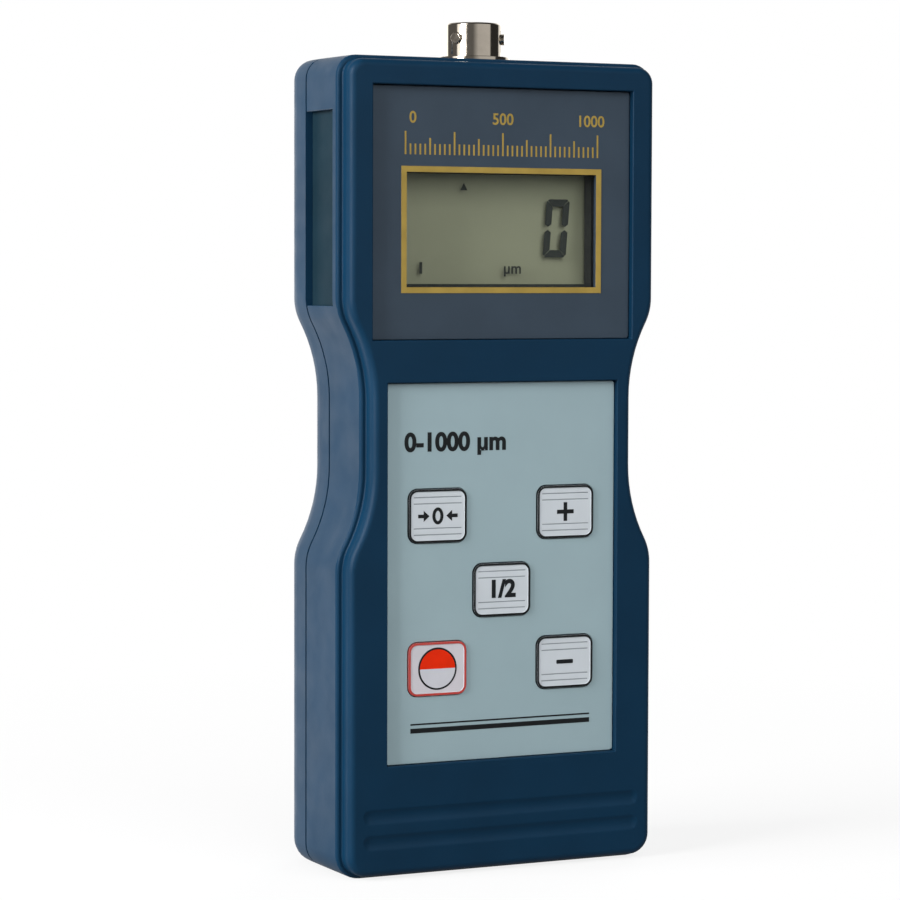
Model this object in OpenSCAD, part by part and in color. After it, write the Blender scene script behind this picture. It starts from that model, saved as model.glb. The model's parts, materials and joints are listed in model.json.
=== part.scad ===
// Hand-held coating thickness gauge: waisted two-shell housing with a display, five keys and a probe socket.
// Frame: +Z up, the front faces -Y, origin in the middle of the bottom end. Sizes in millimetres.

/* [Housing] */
// Width across the broad parts of the housing
body_w = 66.6; // [66:0.2:72]
// Height of the housing without the socket
body_h = 153.6; // [150:0.2:168]
// Depth from the front face to the back
body_d = 32; // [31:0.5:38]
// Thickness of the shell walls
wall = 2.2; // [1.8:0.1:2.6]
// Depth of the parting line behind the front face
seam_depth = 17.5; // [16.5:0.1:18]
// How far each side draws in at the waist
waist_in = 4.8; // [3:0.1:5]
// Height of the straight stretch of the waist
waist_h = 13; // [8:0.5:16]
// Rounding where a side leaves its broad part
flank_r = 10; // [6:0.5:14]
// Rounding of the hollow that leads into the waist
cove_r = 30; // [24:1:36]
// Radius of the two top corners
top_corner_r = 4; // [3.8:0.1:7]
// Radius of the two bottom corners
bottom_corner_r = 4.6; // [4:0.1:8]
// Straight strip of the rear shell behind the parting line
rear_strip = 4.2; // [3:0.1:5]
// How far the rounded back draws in on each side
back_round_in = 14; // [10:0.5:15]
// Rounding of the back at the top and bottom ends
back_end_r = 4; // [3:0.5:6]

/* [Front platform] */
// Height of the raised front over the ledge round it
platform_rise = 3.3; // [2.4:0.1:3.7]
// Width of the ledge beside the raised front
platform_in = 1.3; // [1:0.1:1.6]
// Width of the ledge above the raised front
platform_top_in = 0.9; // [0.7:0.1:1.4]
// Width of the ledge below the raised front
platform_foot_in = 0.6; // [0.4:0.1:1.5]
// Edge rounding of the raised front
platform_edge_r = 1.4; // [1:0.1:1.8]
// Thickness of the wall behind the raised front
front_wall = 4.5; // [4.2:0.1:5]
// Height of the foot area below the keypad
foot_h = 21.3; // [19:0.1:26]
// Length of the two finger grooves in the foot area
groove_l = 58.5; // [44:0.5:59]
// Depth of the finger grooves
groove_depth = 0.4; // [0.3:0.05:0.8]
// Rounding of the finger grooves
groove_r = 3.4; // [2:0.1:4]
// Distance between the finger grooves
groove_pitch = 4.85; // [4.4:0.05:5.4]
// Distance from the keypad to the upper groove
groove_drop = 9.4; // [8:0.1:10]

/* [Display] */
// Height of the display panel
panel_h = 47.1; // [42:0.1:49]
// Flat margin beside the display panel
panel_margin = 3.4; // [2.5:0.1:4]
// Distance from the top of the housing to the panel
panel_top_gap = 5.65; // [4.5:0.05:8]
// How far the panel lies below the front face
panel_sink = 1.3; // [0.8:0.1:1.5]
// Thickness of the panel
panel_t = 1; // [0.8:0.1:1.2]
// Width of the clear window
window_w = 39.7; // [34:0.1:41]
// Height of the clear window
window_h = 21.2; // [18:0.1:24]
// Distance from the panel's top to the window
window_drop = 16.05; // [13:0.05:18]
// Width of the border line round the window
border_w = 1.1; // [0.6:0.1:1.5]
// Thickness of the border line
border_t = 0.1; // [0.06:0.02:0.2]
// Thickness of the window's flange behind the panel
lens_flange_t = 0.7; // [0.5:0.1:0.9]
// Thickness of the liquid-crystal cell
lcd_t = 2.8; // [2:0.1:3]
// How far the cell reaches past the window on each side
lcd_over = 3; // [2:0.1:4]
// Wall of the holder round the cell
holder_wall = 2; // [1.4:0.1:2.4]
// Front lip of the holder that the cell seats on
holder_lip = 1.3; // [0.8:0.1:1.6]

/* [Keypad] */
// Distance between the keypad and the display panel
keypad_gap = 8.15; // [6:0.05:12]
// Flat margin beside the keypad at the waist
keypad_margin = 1.7; // [1.4:0.1:3]
// How far the keypad lies below the front face
keypad_sink = 1.2; // [0.8:0.1:1.5]
// Thickness of the keypad plate
keypad_t = 0.8; // [0.7:0.1:1]
// Width of a key
key_w = 12; // [10:0.1:13]
// Height of a key
key_h = 10.05; // [8:0.05:12]
// Corner radius of a key
key_r = 1.8; // [1:0.1:2.5]
// Distance of the outer keys from the middle line
key_pitch_x = 13.5; // [13:0.1:15]
// Distance between the rows of keys
key_pitch_z = 14.4; // [13:0.05:16]
// Distance from the bottom of the keypad to the lowest row
key_foot = 17.7; // [14:0.1:20]
// How far a key stands over the keypad
key_proud = 0.3; // [0.2:0.05:0.4]
// Travel of a key
key_travel = 0.4; // [0.3:0.05:0.5]
// Diameter of the post behind a key
key_post_d = 5; // [4:0.1:6]
// Width of the raised rim of a key
key_rim = 0.5; // [0.3:0.05:0.8]

/* [Probe socket] */
// Outer diameter of the socket barrel
socket_d = 10.9; // [10:0.1:12.5]
// Diameter of the hole for the probe plug
socket_bore_d = 9.2; // [8.4:0.1:9.4]
// Depth of the hole for the probe plug
socket_bore_depth = 5; // [4.4:0.1:5.6]
// Depth of the socket's middle behind the front face
socket_depth = 14.3; // [13:0.1:15]
// How far the socket stands over the housing
socket_rise = 7.25; // [6.4:0.05:9]
// Diameter of a bayonet lug
lug_d = 2.1; // [1.6:0.1:2.6]
// How far a lug stands out of the barrel
lug_rise = 0.6; // [0.4:0.1:1.4]
// Distance from the socket mouth to the middle of the lugs
lug_drop = 3; // [2:0.1:3.2]
// Diameter of the threaded shank through the wall
shank_d = 9.9; // [9.4:0.1:10.4]
// Diameter of the insulator inside the socket
insert_d = 7.8; // [7.2:0.1:8]
// Width across the flats of the nut
nut_w = 13; // [12.5:0.5:15]

/* [Battery] */
// Diameter of a cell
cell_d = 10.5; // [10:0.1:10.6]
// Length of a cell
cell_l = 44.5; // [43:0.1:46]
// Room between the cells
cell_gap = 0.5; // [0.3:0.1:0.6]
// Length of a pressed contact spring
spring_l = 4.5; // [3.5:0.1:5]
// Wall of the battery well
well_wall = 1.4; // [1.2:0.1:1.6]
// Height of the ledge below the battery cover
cover_foot = 11.5; // [10.5:0.1:12.5]
// Thickness of the battery cover at the middle
cover_t = 2.1; // [1.8:0.1:2.2]
// How far the battery cover slides down
cover_travel = 6; // [4:0.5:6]

/* [Board and fixings] */
// Thickness of the circuit board
board_t = 1.6; // [1.2:0.1:1.8]
// Distance from the front wall to the board
board_stand = 5.9; // [5.6:0.1:6.2]
// Side of a switch body
switch_w = 6; // [5:0.1:7]
// Height of a switch body
switch_h = 3; // [2.6:0.1:3.2]
// Diameter of a switch stem
stem_d = 3; // [2.4:0.1:3.4]
// Diameter of the case screws
screw_d = 2.9; // [2.4:0.1:3]
// Diameter of the case screws' heads
screw_head_d = 5.5; // [5:0.1:5.8]
// Distance of the case screws from the middle line
screw_x = 17; // [15:0.5:18]
// Distance of the case screws from the ends of the housing
screw_end = 8; // [7.5:0.1:8.5]
// Height of the side pocket and its plate
pocket_h = 36.3; // [30:0.1:38]
// Distance from the top of the housing to the side pocket
pocket_drop = 10.2; // [8:0.1:12]
// Depth of the side pocket
pocket_depth = 1.3; // [1:0.1:1.4]
// Thickness of the side plate
side_plate_t = 0.8; // [0.6:0.1:1]

/* [Hidden] */
$fn = 64;
// Clearances: a pressed part, a part in its seat, a running key, a sliding cover, a screw in its hole
press_gap = 0.02;
seat_gap = 0.1;
run_gap = 0.15;
slide_gap = 0.2;
screw_gap = 0.15;
// Play left at the end of a key's travel
stop_gap = 0.05;
// A cut runs this far past the face that it opens
past = 1;
// A joint between a boss and the wall that it grows from, and between two steps of one piece
root = 0.5;
join = 0.01;

// Steps of the corner arcs, the flank arcs, the edge roundings and the rounding of the back
corner_steps = 8;
flank_steps = 8;
edge_steps = 5;
back_steps = 10;

front_y = -body_d / 2;
back_y = body_d / 2;
seam_y = front_y + seam_depth;
ledge_y = front_y + platform_rise;
inner_y = front_y + front_wall;
strip_y = seam_y + rear_strip;
back_round_d = back_y - strip_y;
half_w = body_w / 2;
band_cut = 0.4;
band_draft = 0.1;
inner_top_r = 1.6;
inner_foot_r = 2;
groove_half = sqrt(pow(groove_r, 2) - pow(groove_r - groove_depth, 2));

panel_z1 = body_h - panel_top_gap;
panel_z0 = panel_z1 - panel_h;
panel_z = (panel_z0 + panel_z1) / 2;
panel_w = 2 * (half_w - platform_in - platform_edge_r - panel_margin);
panel_y = front_y + panel_sink;
panel_back_y = panel_y + panel_t;
window_z = panel_z1 - window_drop - window_h / 2;
plate_r = 0.6;
lens_rim = 1.5;
lens_back_y = panel_back_y + lens_flange_t;
collar_t = 0.9;

keypad_z1 = panel_z0 - keypad_gap;
keypad_h = keypad_z1 - foot_h;
keypad_z = foot_h + keypad_h / 2;
keypad_w = 2 * (half_w - waist_in - platform_in - platform_edge_r - keypad_margin);
keypad_y = front_y + keypad_sink;
keypad_back_y = keypad_y + keypad_t;

// The flanks turn through this angle, so that a flank and a cove together draw in by waist_in
flank_angle = acos(1 - waist_in / (flank_r + cove_r));
flank_h = (flank_r + cove_r) * sin(flank_angle);
shoulder_rise = 7.7;
shoulder_z = panel_z0 + shoulder_rise;
waist_z1 = shoulder_z - flank_h;
waist_z0 = waist_z1 - waist_h;
hip_z = waist_z0 - flank_h;

key_row_z = [for (row = [0:2]) foot_h + key_foot + row * key_pitch_z];
zero_at = [-key_pitch_x, key_row_z[2]];
plus_at = [key_pitch_x, key_row_z[2]];
mode_at = [0, key_row_z[1]];
power_at = [-key_pitch_x, key_row_z[0]];
minus_at = [key_pitch_x, key_row_z[0]];
key_places = [zero_at, plus_at, mode_at, power_at, minus_at];
key_front_y = keypad_y - key_proud;
key_back_y = keypad_back_y - key_travel - stop_gap;
key_line_depth = 0.08;
key_line_w = 0.22;
key_line_drops = [1.5, 2.7];
power_disc_d = 8;

board_y = inner_y + board_stand;
board_back_y = board_y + board_t;
board_gap = 1.3;
board_w = 2 * (half_w - waist_in - wall - platform_in / 2 - board_gap);
board_z0 = foot_h + 3;
board_z1 = body_h - screw_end - screw_head_d / 2 - 2;
post_d = 4.8;
post_x = board_w / 2 - post_d / 2 - 1.4;
post_low_z = board_z0 + 5;
post_high_z = panel_z0 - 4;
board_screw_d = 2;
board_screw_l = 5;
board_screw_head_t = 1.4;

chip_t = 1.6;
controller_w = 14;
controller_drop = 8;
amplifier_w = 5;
amplifier_h = 6.2;
amplifier_x = 9;
amplifier_drop = 12;
tall_rise = 6;
crystal_w = 11;
crystal_h = 4.6;
crystal_t = 3.4;
crystal_r = 2.2;
capacitor_d = 5;
capacitor_l = 5.2;
capacitor_x = 16;

switch_front_y = board_y - switch_h;
switch_well = 2;
stem_l = 3;
stem_front_y = switch_front_y + switch_well - key_travel - 2 * stop_gap - stem_l;

lcd_w = window_w + 2 * lcd_over;
lcd_h = window_h + 2 * lcd_over;
lcd_y = inner_y + holder_lip;
lcd_back_y = lcd_y + lcd_t;
holder_w = lcd_w + 2 * holder_wall;
holder_h = lcd_h + 2 * holder_wall;
strip_w = 2.4;
strip_end = 1;
strip_edge = 0.4;

socket_y = front_y + socket_depth;
socket_top_z = body_h + socket_rise;
socket_floor_z = socket_top_z - socket_bore_depth;
socket_flange_d = 14;
socket_flange_t = 0.8;
lug_root = 0.2;
mouth_cut = 0.3;
washer_t = 0.6;
nut_t = 2.4;
wall_under_z = body_h - wall;
washer_z = wall_under_z - washer_t;
nut_z = washer_z - nut_t;
shank_z0 = nut_z - 2;
contact_d = 1.4;
contact_ring = 2.2;
contact_tail = 1.8;
contact_z0 = shank_z0 - contact_tail;
contact_bore_d = 0.9;
contact_bore_l = 3;
washer_over = 1;
lead_d = 0.9;
lead_foot = 3;
lead_step = 1.2;

cell_pitch = cell_d + cell_gap;
well_w = 4 * cell_pitch + 0.6;
contact_t = 0.5;
contact_w = 6.8;
nub_l = 0.9;
nub_d = 3.6;
coils = 5;
wire_d = 1;
coil_r = 3.6;
coil_taper = 0.3;
battery_lead_d = 1.3;
battery_lead_x = 18;
battery_lead_drop = 3;
well_l = cell_l + nub_l + contact_t + spring_l;
well_z0 = cover_foot + 3;
well_z1 = well_z0 + well_l;
cover_in_y = back_y - cover_t;
shelf_t = 1.6;
shelf_y = cover_in_y - seat_gap - shelf_t;
cell_y = shelf_y + shelf_t - cell_d / 2 - 0.5;
well_y = cell_y - cell_d / 2 - 0.2;
cover_w = well_w + 3;
cover_z0 = cover_foot;
cover_z1 = well_z1 + 2.5;
cover_slot_z = cover_z0 - cover_travel - 2 * slide_gap;
shelf_rim = 0.4;
hook_l = 6;
hook_t = 0.7;
hook_reach = 1.1;
hook_h = 1;
grip_w = 22;
grip_depth = 0.5;
grip_foot = 5;
grip_pitch = 2.4;
hook_rows = [well_z0 + cover_travel + 2.5, well_z1 - hook_l - 2];

boss_d = 6.4;
screw_rows = [screw_end, body_h - screw_end];
screw_seat_y = back_y - 7;
screw_head_t = 2;
cross_l = 3.4;
cross_w = 0.8;
cross_depth = 0.8;
screw_l = screw_seat_y - inner_y - 2;

pocket_z1 = body_h - pocket_drop;
pocket_z0 = pocket_z1 - pocket_h;
pocket_lip = 1;
pocket_edge = 2.2;
pocket_front_y = ledge_y + pocket_edge;

// Points of an arc from angle a0 to a1 in the plane of the front, without the first ones if skip is 1
function arc(cx, cz, r, a0, a1, steps, skip = 0) =
    [for (i = [skip:steps]) let (a = a0 + (a1 - a0) * i / steps) [cx + r * cos(a), cz + r * sin(a)]];

// Right half of the housing's outline, bottom to top, drawn in by side, top and foot
function half_outline(side, top, foot, top_r, foot_r) =
    let (x = half_w - side, xw = x - waist_in)
    concat(
        arc(x - foot_r, foot + foot_r, foot_r, -90, 0, corner_steps),
        arc(x - flank_r, hip_z, flank_r, 0, flank_angle, flank_steps),
        arc(xw + cove_r, waist_z0, cove_r, 180 + flank_angle, 180, flank_steps, 1),
        arc(xw + cove_r, waist_z1, cove_r, 180, 180 - flank_angle, flank_steps),
        arc(x - flank_r, shoulder_z, flank_r, -flank_angle, 0, flank_steps, 1),
        arc(x - top_r, body_h - top - top_r, top_r, 0, 90, corner_steps));

// One closed ring of points: a level is [y, side, top, foot, top corner radius, bottom corner radius]
function ring(level) =
    let (half = half_outline(level[1], level[2], level[3], level[4], level[5]), n = len(half))
    concat([for (p = half) [p[0], level[0], p[1]]],
           [for (i = [n - 1:-1:0]) [-half[i][0], level[0], half[i][1]]]);

// Skin over a row of levels, closed at its first and its last ring by strips from side to side
module loft(levels) {
    rings = [for (level = levels) ring(level)];
    n = len(rings[0]);
    m = len(rings);
    sides = [for (k = [0:m - 2], i = [0:n - 1]) let (j = (i + 1) % n, a = k * n, b = a + n)
             each [[a + i, a + j, b + j], [a + i, b + j, b + i]]];
    last = (m - 1) * n;
    first_cap = [for (i = [0:n / 2 - 2]) [n - 1 - i, n - 2 - i, i + 1, i]];
    last_cap = [for (i = [0:n / 2 - 2]) [last + i, last + i + 1, last + n - 2 - i, last + n - 1 - i]];
    polyhedron(points = [for (r = rings) each r], faces = concat(first_cap, sides, last_cap), convexity = 8);
}

function inset_level(y, extra) =
    [y, platform_in + extra, platform_top_in + extra, platform_foot_in + extra,
     top_corner_r - platform_top_in - extra, bottom_corner_r - platform_foot_in - extra];

// The raised front's rounded edge, its wall, the ledge, the side band, then the hollow inside
front_levels = concat(
    [for (i = [0:edge_steps]) let (a = 90 * i / edge_steps)
     inset_level(front_y + platform_edge_r * (1 - cos(a)), platform_edge_r * (1 - sin(a)))],
    [inset_level(ledge_y, 0),
     [ledge_y, band_cut, band_cut, 0, top_corner_r, bottom_corner_r],
     [ledge_y + band_cut, band_draft, band_draft, 0, top_corner_r, bottom_corner_r],
     [seam_y, 0, 0, 0, top_corner_r, bottom_corner_r],
     [seam_y, wall, wall, wall, top_corner_r - wall, bottom_corner_r - wall],
     [inner_y, wall + platform_in, wall + platform_top_in, wall + platform_foot_in, inner_top_r,
      inner_foot_r]]);

// How far a rounding of depth d and reach r has drawn in at height h over its start
function draw_in(h, d, r) = h <= 0 ? 0 : r * (1 - sqrt(max(0, 1 - pow(h / d, 2))));

// A level of the rear shell at depth y, t inside its outer skin
function rear_level(y, t) =
    [y, t + draw_in(y - strip_y, back_round_d - t, back_round_in - t),
     t + draw_in(y - back_y + back_end_r, back_end_r - t, back_end_r - t),
     t + draw_in(y - back_y + back_end_r, back_end_r - t, back_end_r - t),
     top_corner_r - t, bottom_corner_r - t];

function rear_depths(t) =
    concat([seam_y], [for (i = [0:back_steps]) strip_y + (back_round_d - t) * sin(90 * i / back_steps)]);

rear_outer = [for (y = rear_depths(0)) rear_level(y, 0)];
rear_inner = [for (y = rear_depths(wall)) rear_level(y, wall)];
rear_levels = concat([for (i = [len(rear_inner) - 1:-1:0]) rear_inner[i]], rear_outer);

// Flat rounded shape of the front view
module rounded_rect(w, h, r) {
    if (r > 0) {
        square([w - 2 * r, h], center = true);
        square([w, h - 2 * r], center = true);
        for (x = [-1, 1], z = [-1, 1]) translate([x * (w / 2 - r), z * (h / 2 - r)]) circle(r);
    } else {
        square([w, h], center = true);
    }
}

// Plate of the front view from depth y0 to y1, centred at x and z
module slab(w, h, y0, y1, r = 0, x = 0, z = 0)
    translate([x, y1, z]) rotate([90, 0, 0]) linear_extrude(y1 - y0) rounded_rect(w, h, r);

// Plate of the window's size, larger by over on each side
module window_slab(over, y0, y1) slab(window_w + 2 * over, window_h + 2 * over, y0, y1, 0, 0, window_z);

// Round bar along the depth from y0 to y1
module rod(d, y0, y1, x, z) translate([x, y0, z]) rotate([-90, 0, 0]) cylinder(d = d, h = y1 - y0);

// Block given by its lower and upper corners
module block(x0, x1, y0, y1, z0, z1) translate([x0, y0, z0]) cube([x1 - x0, y1 - y0, z1 - z0]);

// Both sides of the middle line
module both_sides() {
    children();
    mirror([1, 0, 0]) children();
}

module finger_groove(z) {
    x = groove_l / 2 - groove_half;
    translate([0, front_y - groove_r + groove_depth, z]) {
        rotate([0, 90, 0]) cylinder(r = groove_r, h = 2 * x, center = true);
        for (side = [-1, 1]) translate([side * x, 0, 0]) sphere(groove_r);
    }
}

// Window through the side band, with a deeper seat behind it for the side plate
module side_pocket() {
    block(half_w - pocket_depth, half_w + past, pocket_front_y, seam_y + past, pocket_z0, pocket_z1);
    block(half_w - pocket_depth - side_plate_t - seat_gap, half_w - pocket_depth, pocket_front_y - pocket_lip,
          seam_y + past, pocket_z0 - pocket_lip, pocket_z1 + pocket_lip);
}

module screw_places() for (x = [-screw_x, screw_x], z = screw_rows) translate([x, 0, z]) children();

module post_places() for (x = [-post_x, post_x], z = [post_low_z, post_high_z])
    translate([x, 0, z]) children();

module socket_hole() translate([0, socket_y, nut_z - past]) cylinder(d = shank_d + 2 * screw_gap, h = body_h);

// Flat spot inside the top wall for the washer and the nut
module socket_seat() translate([0, socket_y, nut_z - past])
    cylinder(d = nut_w / cos(30) + 2 * slide_gap, h = wall_under_z - nut_z + past);

module front_shell() color("#1d4266") difference() {
    union() {
        loft(front_levels);
        screw_places() rod(boss_d, inner_y - root, seam_y, 0, 0);
        post_places() rod(post_d, inner_y - root, board_y, 0, 0);
    }
    slab(panel_w + 2 * seat_gap, panel_h + 2 * seat_gap, front_y - past, panel_back_y, 0, 0, panel_z);
    window_slab(lens_rim + seat_gap, front_y, lens_back_y);
    window_slab(collar_t + seat_gap, front_y, inner_y + past);
    slab(keypad_w + 2 * seat_gap, keypad_h + 2 * seat_gap, front_y - past, keypad_back_y, 0, 0, keypad_z);
    for (p = key_places) rod(key_post_d + 4 * run_gap, front_y, inner_y + past, p[0], p[1]);
    for (i = [0, 1]) finger_groove(foot_h - groove_drop - i * groove_pitch);
    both_sides() side_pocket();
    socket_hole();
    socket_seat();
    screw_places() rod(screw_d + 2 * screw_gap, inner_y + 0.5, seam_y + past, 0, 0);
    post_places() rod(board_screw_d + 2 * screw_gap, inner_y + 1, board_y + past, 0, 0);
}

// Pockets under the shelf for the cover's hooks, with a way in where the cover has slid down
module hook_slots() both_sides() for (z = hook_rows) {
    x0 = well_w / 2 - seat_gap;
    x1 = well_w / 2 - seat_gap + hook_reach + slide_gap;
    z0 = z - cover_travel - slide_gap;
    block(x0, x1, shelf_y - hook_h - 2 * slide_gap, shelf_y, z0, z + hook_l + slide_gap);
    block(x0, x1, shelf_y - hook_h, cover_in_y + past, z0, z0 + hook_l + 2 * slide_gap);
}

// Well for the cells and the shelf that the cover lies on
module battery_well() {
    x = well_w / 2 + well_wall + hook_reach;
    block(-x, x, well_y - well_wall, shelf_y + root, well_z0 - well_wall, well_z1 + well_wall);
    shelf_x = cover_w / 2 + shelf_rim;
    block(-shelf_x, shelf_x, shelf_y, shelf_y + shelf_t + shelf_rim / 2, cover_slot_z - shelf_rim,
          cover_z1 + shelf_rim);
}

module rear_shell() color("#1d4266") difference() {
    union() {
        loft(rear_levels);
        battery_well();
        screw_places() rod(boss_d, seam_y, back_y - wall / 2, 0, 0);
    }
    block(-cover_w / 2 - slide_gap, cover_w / 2 + slide_gap, shelf_y + shelf_t, back_y + past, cover_slot_z,
          cover_z1 + slide_gap);
    block(-well_w / 2, well_w / 2, well_y, back_y, well_z0, well_z1);
    hook_slots();
    socket_hole();
    screw_places() rod(screw_d + 2 * screw_gap, seam_y - past, back_y, 0, 0);
    screw_places() rod(screw_head_d + 2 * screw_gap, screw_seat_y, back_y + past, 0, 0);
}

module cover_hooks() both_sides() for (z = hook_rows) {
    x1 = well_w / 2 - slide_gap;
    block(x1 - hook_t, x1, shelf_y - hook_h - slide_gap, cover_in_y + root, z, z + hook_l);
    block(x1 - hook_t, x1 + hook_reach, shelf_y - hook_h - slide_gap, shelf_y - slide_gap, z, z + hook_l);
}

// Finger ribs cut across the lower part of the cover
module cover_grip() for (i = [0:4])
    block(-grip_w / 2, grip_w / 2, back_y - grip_depth, back_y + past, cover_z0 + grip_foot + i * grip_pitch,
          cover_z0 + grip_foot + i * grip_pitch + grip_pitch / 2);

module battery_cover() color("#1d4266") {
    difference() {
        intersection() {
            loft(rear_outer);
            block(-cover_w / 2, cover_w / 2, cover_in_y, back_y + past, cover_z0, cover_z1);
        }
        cover_grip();
    }
    cover_hooks();
}

module display_panel() color("#3c4652") difference() {
    slab(panel_w, panel_h, panel_y, panel_back_y, plate_r, 0, panel_z);
    window_slab(seat_gap, panel_y - past, panel_back_y + past);
}

module display_window() color("#cfd6d2") {
    window_slab(0, panel_y, panel_back_y + join);
    window_slab(lens_rim, panel_back_y, lens_back_y);
}

module window_border() color("#be9132") difference() {
    window_slab(seat_gap + border_w, panel_y - border_t, panel_y);
    window_slab(seat_gap, panel_y - past, panel_y + past);
}

module lcd_cell() color("#757963") slab(lcd_w, lcd_h, lcd_y, lcd_back_y, 0, 0, window_z);

// The holder's collar reaches through the front wall to the window
module lcd_holder() color("#20262b") difference() {
    union() {
        slab(holder_w, holder_h, inner_y, board_y, 1, 0, window_z);
        window_slab(collar_t, lens_back_y + seat_gap, inner_y + root);
    }
    window_slab(0, front_y, lcd_y + past);
    slab(lcd_w + 2 * seat_gap, lcd_h + 2 * seat_gap, lcd_y, board_y + past, 0, 0, window_z);
}

module lcd_strips() color("#c78a9a") for (side = [-1, 1])
    slab(lcd_w - 2 * strip_end, strip_w, lcd_back_y, board_y, 0, 0,
         window_z + side * (lcd_h / 2 - strip_w / 2 - strip_edge));

module keypad_plate() color("#8fa3a8") difference() {
    slab(keypad_w, keypad_h, keypad_y, keypad_back_y, plate_r, 0, keypad_z);
    for (p = key_places)
        slab(key_w + 2 * run_gap, key_h + 2 * run_gap, keypad_y - past, keypad_back_y + past, key_r + run_gap,
             p[0], p[1]);
}

// A key with a raised rim and a round post to its switch
module key_body(p) {
    difference() {
        slab(key_w, key_h, key_front_y, key_back_y, key_r, p[0], p[1]);
        slab(key_w - 2 * key_rim, key_h - 2 * key_rim, key_front_y - past, key_front_y + key_line_depth,
             key_r - key_rim, p[0], p[1]);
    }
    rod(key_post_d, key_back_y - 0.1, stem_front_y, p[0], p[1]);
}

// Fine moulded lines across the top and the foot of a key
module lined_key(p) difference() {
    key_body(p);
    for (side = [-1, 1], d = key_line_drops)
        slab(key_w - 4 * key_rim, key_line_w, key_front_y - past, key_front_y + 2 * key_line_depth, 0, p[0],
             p[1] + side * (key_h / 2 - d));
}

module zero_key() color("#c9ced2") lined_key(zero_at);
module plus_key() color("#c9ced2") lined_key(plus_at);
module mode_key() color("#c9ced2") lined_key(mode_at);
module minus_key() color("#c9ced2") lined_key(minus_at);

module power_key() color("#d9c9c6") difference() {
    key_body(power_at);
    difference() {
        rod(power_disc_d, key_front_y - past, key_front_y + 2 * key_line_depth, power_at[0], power_at[1]);
        rod(power_disc_d - 2 * key_line_w, key_front_y - past, back_y, power_at[0], power_at[1]);
    }
}

module switch_stem(p) color("#26282a") rod(stem_d, stem_front_y, stem_front_y + stem_l, p[0], p[1]);

module zero_stem() switch_stem(zero_at);
module plus_stem() switch_stem(plus_at);
module mode_stem() switch_stem(mode_at);
module power_stem() switch_stem(power_at);
module minus_stem() switch_stem(minus_at);

module key_switches() color("#3a3d40") for (p = key_places) difference() {
    slab(switch_w, switch_w, switch_front_y, board_y, 0.4, p[0], p[1]);
    rod(stem_d + 2 * run_gap, switch_front_y - past, switch_front_y + switch_well, p[0], p[1]);
}

module main_board() color("#2f6b45") difference() {
    slab(board_w, board_z1 - board_z0, board_y, board_back_y, 1.5, 0, (board_z0 + board_z1) / 2);
    post_places() rod(board_screw_d + 2 * screw_gap, board_y - past, board_back_y + past, 0, 0);
}

module board_screws() color("#b9bcc0") post_places() {
    rod(board_screw_d, board_back_y - board_screw_l, board_back_y + join, 0, 0);
    rod(2 * board_screw_d, board_back_y, board_back_y + board_screw_head_t, 0, 0);
}

module controller_chip() color("#1e2022")
    slab(controller_w, controller_w, board_back_y, board_back_y + chip_t, 0, 0, panel_z0 - controller_drop);

module amplifier_chips() color("#1e2022") for (side = [-1, 1])
    slab(amplifier_w, amplifier_h, board_back_y, board_back_y + chip_t, 0, side * amplifier_x,
         board_z1 - amplifier_drop);

module crystal() color("#c4c7c9")
    slab(crystal_w, crystal_h, board_back_y, board_back_y + crystal_t, crystal_r, 0, panel_z0 + tall_rise);

module capacitors() color("#2b3550") for (side = [-1, 1])
    rod(capacitor_d, board_back_y, board_back_y + capacitor_l, side * capacitor_x, panel_z0 + tall_rise);

// Cells lie side by side and point up and down by turns
module cell_places() for (i = [0:3]) {
    x = (i - 1.5) * cell_pitch;
    if (i % 2 == 0) translate([x, cell_y, well_z0]) children();
    else translate([x, cell_y, well_z1]) mirror([0, 0, 1]) children();
}

module battery_cells() color("#2d2f33") cell_places() translate([0, 0, spring_l]) {
    cylinder(d = cell_d, h = cell_l);
    cylinder(d = nub_d, h = cell_l + nub_l);
}

// Pressed cone springs, coil on coil
module battery_springs() color("#c9ccd0") cell_places() rotate_extrude() {
    rise = (spring_l - wire_d) / (coils - 1);
    for (i = [0:coils - 1]) translate([coil_r - i * coil_taper, wire_d / 2 + rise * i]) circle(d = wire_d);
}

module battery_contacts() color("#c9ccd0") cell_places() {
    translate([-contact_w / 2, -contact_w / 2, well_l - contact_t]) cube([contact_w, contact_w, contact_t]);
}

module battery_leads() color("#a83232") for (side = [-1, 1])
    rod(battery_lead_d, board_back_y, well_y - well_wall, side * battery_lead_x, well_z1 - battery_lead_drop);

module lug(angle) translate([0, 0, socket_top_z - lug_drop]) rotate([0, 0, angle]) rotate([0, 90, 0])
    translate([0, 0, socket_bore_d / 2 + lug_root])
    cylinder(d = lug_d, h = socket_d / 2 + lug_rise - socket_bore_d / 2 - lug_root);

// Turned shell: barrel with three bayonet lugs, thin flange and threaded shank
module socket_shell() color("#c6c8c9") translate([0, socket_y, 0]) difference() {
    union() {
        rotate_extrude() polygon([[0, shank_z0], [shank_d / 2, shank_z0], [shank_d / 2, body_h],
            [socket_flange_d / 2, body_h], [socket_flange_d / 2, body_h + socket_flange_t],
            [socket_d / 2, body_h + socket_flange_t], [socket_d / 2, socket_top_z - mouth_cut],
            [socket_d / 2 - mouth_cut, socket_top_z], [0, socket_top_z]]);
        for (angle = [-150, -30, 90]) lug(angle);
    }
    translate([0, 0, socket_floor_z]) cylinder(d = socket_bore_d, h = socket_bore_depth + past);
    translate([0, 0, shank_z0 - past]) cylinder(d = insert_d + 2 * seat_gap, h = body_h);
}

module contact_places() for (angle = [45:90:315])
    translate([contact_ring * cos(angle), socket_y + contact_ring * sin(angle), 0]) children();

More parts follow.
